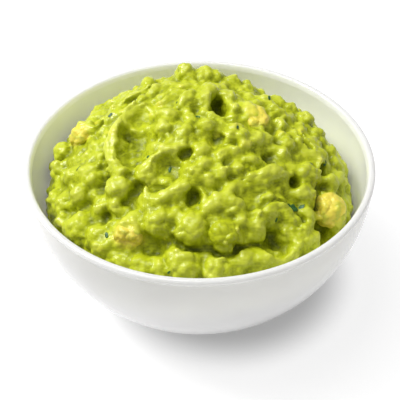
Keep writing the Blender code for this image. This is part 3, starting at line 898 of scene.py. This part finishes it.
def relief_tree(mash, material):
    """Geometry Nodes that raise the wet relief of crushed flesh, in rounded domes."""
    tree = bpy.data.node_groups.new("crushed_relief", "GeometryNodeTree")
    tree.interface.new_socket("Geometry", in_out="INPUT", socket_type="NodeSocketGeometry")
    tree.interface.new_socket("Geometry", in_out="OUTPUT", socket_type="NodeSocketGeometry")
    rise = tree.interface.new_socket("Height", in_out="INPUT", socket_type="NodeSocketFloat")
    rise.default_value = mash.relief
    # Domes 3.3 mm apart, as a fork's tines leave them.
    grain = tree.interface.new_socket("Grain size", in_out="INPUT", socket_type="NodeSocketFloat")
    grain.default_value = 0.0033
    group = add_node(tree, "NodeGroupInput")
    place = add_node(tree, "GeometryNodeInputPosition")
    outward = add_node(tree, "GeometryNodeInputNormal")
    per_metre = add_node(tree, "ShaderNodeMath", {"operation": "DIVIDE"}, i0=1.0, i1=(group, "Grain size"))
    bend = add_node(tree, "ShaderNodeTexNoise", Vector=(place, "Position"), Scale=260.0, Detail=1.0)
    bent = add_node(tree, "ShaderNodeVectorMath", {"operation": "MULTIPLY_ADD"},
                    i0=(bend, "Color"), i1=(0.0014, 0.0014, 0.0014), i2=(place, "Position"))
    cells = add_node(tree, "ShaderNodeTexVoronoi", {"feature": "SMOOTH_F1"},
                     Vector=(bent, "Vector"), Scale=(per_metre, "Value"), Smoothness=0.25)
    # The square of the distance to a cell's middle gives a round dome where the distance gives a cone.
    squared = add_node(tree, "ShaderNodeMath", {"operation": "POWER"}, i0=(cells, "Distance"), i1=2.0)
    dome = add_node(tree, "ShaderNodeMath", {"operation": "MULTIPLY_ADD"},
                    i0=(squared, "Value"), i1=-2.2, i2=0.4)
    patches = add_node(tree, "ShaderNodeTexNoise", Vector=(place, "Position"), Scale=70.0, Detail=1.0)
    patchy = add_node(tree, "ShaderNodeMapRange", Value=(patches, "Fac"),
                      From_Min=0.35, From_Max=0.65, To_Min=0.45, To_Max=1.2)
    height = add_node(tree, "ShaderNodeMath", {"operation": "MULTIPLY"},
                      i0=(patchy, "Result"), i1=(group, "Height"))
    push = add_node(tree, "ShaderNodeMath", {"operation": "MULTIPLY"},
                    i0=(dome, "Value"), i1=(height, "Value"))
    offset = add_node(tree, "ShaderNodeVectorMath", {"operation": "SCALE"},
                      i0=(outward, "Normal"), Scale=(push, "Value"))
    moved = add_node(tree, "GeometryNodeSetPosition", Geometry=(group, "Geometry"), Offset=(offset, "Vector"))
    real = add_node(tree, "GeometryNodeRealizeInstances", Geometry=(moved, "Geometry"))
    finish = add_node(tree, "GeometryNodeSetMaterial", Geometry=(real, "Geometry"), Material=material)
    add_node(tree, "NodeGroupOutput", Geometry=(finish, "Geometry"))
    return tree


def build_mash(bowl, mash):
    """The mash: the lumpy heap, carried down to the bowl's floor, with its fine relief."""
    heap = Heap(bowl, mash)
    heap.shape_mash(mash.lumps, bowl)
    points, quads, tint, proud = heap.skin()
    mesh = bpy.data.meshes.new("mashed_avocado")
    mesh.from_pydata((points * MM).tolist(), [], quads.tolist())
    # The proud attribute gives the mash's painted light on the lumps and painted shade in the folds.
    for name, values in (("tint", tint), ("proud", proud)):
        mesh.attributes.new(name, "FLOAT", "POINT").data.foreach_set("value", values.astype(np.float32))
    fill_below(mesh, bowl)
    mesh.shade_smooth()
    material = mashed_avocado(mash)
    piece = new_piece("mashed_avocado", mesh, material)
    return run_nodes(piece, "Relief", relief_tree(mash, material), {"Height": mash.relief})


# ---------------------------------------------------------------- whole pieces of avocado


# Unevenness of a piece, from its whole shape to its torn skin: share of its size, and how fine.
TEARING = [(0.12, 1.3), (0.04, 3.1), (0.01, 7.0)]


def chunk_mesh(name, half_sizes, turn, seed):
    """A torn, slightly square lump of avocado in the place of its CAD node."""
    low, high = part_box(name)
    centre = (low + high) / 2
    shape = bmesh.new()
    bmesh.ops.create_icosphere(shape, subdivisions=6, radius=1.0)
    # The power of a superellipsoid: 2 is round, and more is squarer.
    squareness = 2.5
    turned = Matrix.Rotation(math.radians(turn), 3, "Z")
    for vertex in shape.verts:
        direction = vertex.co.normalized()
        squared = sum(abs(part) ** squareness for part in direction)
        reach = squared ** (-1.0 / squareness)
        seeded = direction + Vector((seed, 0.0, 0.0))
        reach *= 1.0 + sum(share * noise.noise(seeded * fine) for share, fine in TEARING)
        body = Vector([direction[axis] * reach * half_sizes[axis] * MM for axis in range(3)])
        vertex.co = centre + turned @ body
    mesh = bpy.data.meshes.new(name + "_flesh")
    shape.to_mesh(mesh)
    shape.free()
    mesh.shade_smooth()
    return mesh


# ---------------------------------------------------------------- what lies on the mash


def scatter_tree(name, material):
    """Geometry Nodes that sow flat crumbs over the upper side of the mash, half sunk in it."""
    tree = bpy.data.node_groups.new(name, "GeometryNodeTree")
    tree.interface.new_socket("Geometry", in_out="INPUT", socket_type="NodeSocketGeometry")
    tree.interface.new_socket("Geometry", in_out="OUTPUT", socket_type="NodeSocketGeometry")
    for label in ("Spacing", "Radius", "Length", "Thickness"):
        tree.interface.new_socket(label, in_out="INPUT", socket_type="NodeSocketFloat")
    tree.interface.new_socket("Seed", in_out="INPUT", socket_type="NodeSocketInt")
    group = add_node(tree, "NodeGroupInput")
    place = add_node(tree, "GeometryNodeInputPosition")
    height = add_node(tree, "ShaderNodeSeparateXYZ", Vector=(place, "Position"))
    # Crumbs lie only where the mash is open to the air, more than 50 mm up.
    upper = add_node(tree, "FunctionNodeCompare", {"operation": "GREATER_THAN"}, i0=(height, "Z"), i1=0.05)
    points = add_node(tree, "GeometryNodeDistributePointsOnFaces", {"distribute_method": "POISSON"},
                      Mesh=(group, "Geometry"), Selection=(upper, "Result"), Seed=(group, "Seed"),
                      Distance_Min=(group, "Spacing"), Density_Max=200000.0)
    crumb = add_node(tree, "GeometryNodeMeshIcoSphere", Radius=(group, "Radius"), Subdivisions=2)
    form = add_node(tree, "ShaderNodeCombineXYZ", X=(group, "Length"), Y=1.0, Z=(group, "Thickness"))
    flat = add_node(tree, "GeometryNodeTransform", Geometry=(crumb, "Mesh"), Scale=(form, "Vector"))
    spin = add_node(tree, "FunctionNodeRandomValue", {"data_type": "FLOAT"},
                    i2=0.0, i3=6.28, Seed=(group, "Seed"))
    around = add_node(tree, "ShaderNodeCombineXYZ", Z=(spin, 1))
    turn = add_node(tree, "FunctionNodeRotateRotation", {"rotation_space": "LOCAL"},
                    Rotation=(points, "Rotation"), Rotate_By=(around, "Vector"))
    size = add_node(tree, "FunctionNodeRandomValue", {"data_type": "FLOAT"},
                    i2=0.55, i3=1.1, Seed=(group, "Seed"))
    sown = add_node(tree, "GeometryNodeInstanceOnPoints", Points=(points, "Points"),
                    Instance=(flat, "Geometry"), Rotation=(turn, "Rotation"), Scale=(size, 1))
    real = add_node(tree, "GeometryNodeRealizeInstances", Geometry=(sown, "Instances"))
    smooth = add_node(tree, "GeometryNodeSetShadeSmooth", Geometry=(real, "Geometry"))
    finish = add_node(tree, "GeometryNodeSetMaterial", Geometry=(smooth, "Geometry"), Material=material)
    add_node(tree, "NodeGroupOutput", Geometry=(finish, "Geometry"))
    return tree


def sow(name, mash_mesh, material, values):
    """A piece made of the crumbs that the scatter tree sows on the mash."""
    piece = new_piece(name, mash_mesh.copy(), material)
    return run_nodes(piece, "Scatter", scatter_tree(name + "_scatter", material), values)


def leaf_flecks(mash_mesh, flecks):
    """Torn, cupped chips of leaf, one at each listed place, lying in the mash."""
    places = [vertex.co for vertex in mash_mesh.vertices]
    tree = BVHTree.FromPolygons(places, [face.vertices[:] for face in mash_mesh.polygons])
    above, down = 0.12, Vector((0.0, 0.0, -1.0))
    shape = bmesh.new()
    for index, (x, y, length, width, turn) in enumerate(flecks):
        hit, normal, _, _ = tree.ray_cast(Vector((x * MM, y * MM, above)), down)
        along = Vector((math.cos(math.radians(turn)), math.sin(math.radians(turn)), 0.0))
        along = (along - along.dot(normal) * normal).normalized()
        across = normal.cross(along)
        chip = bmesh.ops.create_icosphere(shape, subdivisions=4, radius=1.0)
        for vertex in chip["verts"]:
            unit = vertex.co.copy()
            torn = 1.0 + 0.5 * noise.noise(Vector((unit.x, unit.y, index)) * 2.3)
            cup = 0.35 * (unit.x ** 2 - 0.3) + 0.2 * noise.noise(Vector((unit.x, unit.y, index)) * 1.7)
            lift = 0.12 * unit.z + 0.5 * cup
            flat = along * (unit.x * torn * length / 2) + across * (unit.y * torn * width / 2)
            vertex.co = hit + (flat + normal * (lift + 0.1)) * MM
    mesh = bpy.data.meshes.new("coriander_flecks")
    shape.to_mesh(mesh)
    shape.free()
    mesh.shade_smooth()
    return mesh


# ---------------------------------------------------------------- operators


class GUAC_OT_bowl(Operator):
    """Build the glazed porcelain bowl"""

    bl_idname = "guac.bowl"
    bl_label = "Build Bowl"

    def execute(self, context):
        piece = build_bowl(context.scene.guac_bowl)
        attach(piece, BODY)
        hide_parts("bowl")
        return {"FINISHED"}


class GUAC_OT_mash(Operator):
    """Build the heap of mashed avocado"""

    bl_idname = "guac.mash"
    bl_label = "Build Mash"

    def execute(self, context):
        piece = build_mash(context.scene.guac_bowl, context.scene.guac_mash)
        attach(piece, BODY)
        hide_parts("guacamole_mash")
        return {"FINISHED"}


class GUAC_OT_avocado(Operator):
    """Build the whole pieces of avocado that show in the mash"""

    bl_idname = "guac.avocado"
    bl_label = "Build Avocado Pieces"

    def execute(self, context):
        flesh = ripe_avocado(context.scene.guac_avocado)
        mash = context.scene.guac_mash
        mashed = bpy.data.materials.get("fork_mashed_avocado")
        if mashed is None:
            self.report({"ERROR"}, "Build the mash first")
            return {"CANCELLED"}
        for name, half_sizes, turn, seed in CHUNKS:
            mesh = chunk_mesh(name, half_sizes, turn, seed)
            # The green lump is coated in mash, and the yellow ones are bare.
            skin = mashed if "knob" in name else flesh
            piece = new_piece(name + "_flesh", mesh, skin)
            run_nodes(piece, "Relief", relief_tree(mash, skin), {"Height": 0.6 * mash.relief})
            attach(piece, BODY)
            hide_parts(name)
        return {"FINISHED"}


class GUAC_OT_garnish(Operator):
    """Lay the herb flecks on the mash"""

    bl_idname = "guac.garnish"
    bl_label = "Lay Herbs"

    def execute(self, context):
        herbs = context.scene.guac_herbs
        mash = bpy.data.objects.get("mashed_avocado")
        if mash is None:
            self.report({"ERROR"}, "Build the mash first")
            return {"CANCELLED"}
        leaf = chopped_herb(herbs)
        small = {"Spacing": herbs.spacing, "Radius": herbs.fleck, "Seed": herbs.seed}
        small.update({"Length": 1.7, "Thickness": 0.25})
        pieces = [
            new_piece("coriander_flecks", leaf_flecks(mash.data, HERB_FLECKS), leaf),
            sow("coriander_crumbs", mash.data, leaf, small),
        ]
        for piece in pieces:
            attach(piece, BODY)
        return {"FINISHED"}


class GUAC_OT_stage(Operator):
    """Lay the table, hang the lights and place the camera"""

    bl_idname = "guac.stage"
    bl_label = "Set Stage"

    def execute(self, context):
        stage = context.scene.guac_stage
        # The camera and the lights look at a point a little over half way up the bowl.
        target = Vector((0.0003, 0.0, 0.0397))
        self.lay_table(stage)
        self.place_camera(stage, target)
        self.add_light("key_softbox", (-0.30, 0.12, 0.95), (0.6, 0.6), stage.key_power, target)
        self.add_light("side_softbox", (-0.70, 0.22, 0.88), (0.4, 0.4), stage.side_power, target)
        world = bpy.data.worlds.new("white_studio")
        world.use_nodes = True
        background = world.node_tree.nodes["Background"]
        background.inputs["Color"].default_value = (1.0, 1.0, 1.0, 1.0)
        background.inputs["Strength"].default_value = stage.ambient
        context.scene.world = world
        context.scene.view_settings.view_transform = "Standard"
        return {"FINISHED"}

    def lay_table(self, stage):
        """A square table top, wide enough to have no edge in view."""
        half_width = 3.0
        shape = bmesh.new()
        bmesh.ops.create_grid(shape, x_segments=2, y_segments=2, size=half_width)
        mesh = bpy.data.meshes.new("table_top")
        shape.to_mesh(mesh)
        shape.free()
        new_piece("table_top", mesh, white_table(stage))

    def place_camera(self, stage, target):
        """A camera in front of the bowl that looks down at it."""
        data = bpy.data.cameras.new("camera")
        data.lens = stage.lens
        data.clip_start = 0.01
        camera = bpy.data.objects.new("camera", data)
        direction = Vector((0.0, -math.cos(stage.elevation), math.sin(stage.elevation)))
        camera.location = target + stage.distance * direction
        camera.rotation_euler = (math.pi / 2 - stage.elevation, 0.0, 0.0)
        bpy.context.scene.collection.objects.link(camera)
        bpy.context.scene.camera = camera

    def add_light(self, name, place, size, power, target):
        """A rectangular softbox that faces the bowl."""
        data = bpy.data.lights.new(name, "AREA")
        data.shape = "RECTANGLE"
        data.size, data.size_y = size
        data.energy = power
        light = bpy.data.objects.new(name, data)
        light.location = place
        light.rotation_euler = (target - Vector(place)).to_track_quat("-Z", "Y").to_euler()
        bpy.context.scene.collection.objects.link(light)


class GUAC_PT_panel(Panel):
    """Steps of the build, in order"""

    bl_idname = "GUAC_PT_panel"
    bl_label = "Guacamole Bowl"
    bl_space_type = "VIEW_3D"
    bl_region_type = "UI"
    bl_category = "Guacamole"

    def draw(self, context):
        for step in STEPS:
            self.layout.operator(step.bl_idname)


GROUPS = [
    (BowlSettings, "guac_bowl"), (MashSettings, "guac_mash"), (AvocadoSettings, "guac_avocado"),
    (HerbSettings, "guac_herbs"), (StageSettings, "guac_stage"),
]
STEPS = [GUAC_OT_stage, GUAC_OT_bowl, GUAC_OT_mash, GUAC_OT_avocado, GUAC_OT_garnish]


def register():
    for group, name in GROUPS:
        bpy.utils.register_class(group)
        setattr(bpy.types.Scene, name, PointerProperty(type=group))
    for step in STEPS:
        bpy.utils.register_class(step)
    bpy.utils.register_class(GUAC_PT_panel)


def unregister():
    bpy.utils.unregister_class(GUAC_PT_panel)
    for step in reversed(STEPS):
        bpy.utils.unregister_class(step)
    for group, name in reversed(GROUPS):
        delattr(bpy.types.Scene, name)
        bpy.utils.unregister_class(group)


def main():
    register()
    bpy.ops.guac.stage()
    bpy.ops.guac.bowl()
    bpy.ops.guac.mash()
    bpy.ops.guac.avocado()
    bpy.ops.guac.garnish()


if __name__ == "__main__":
    main()
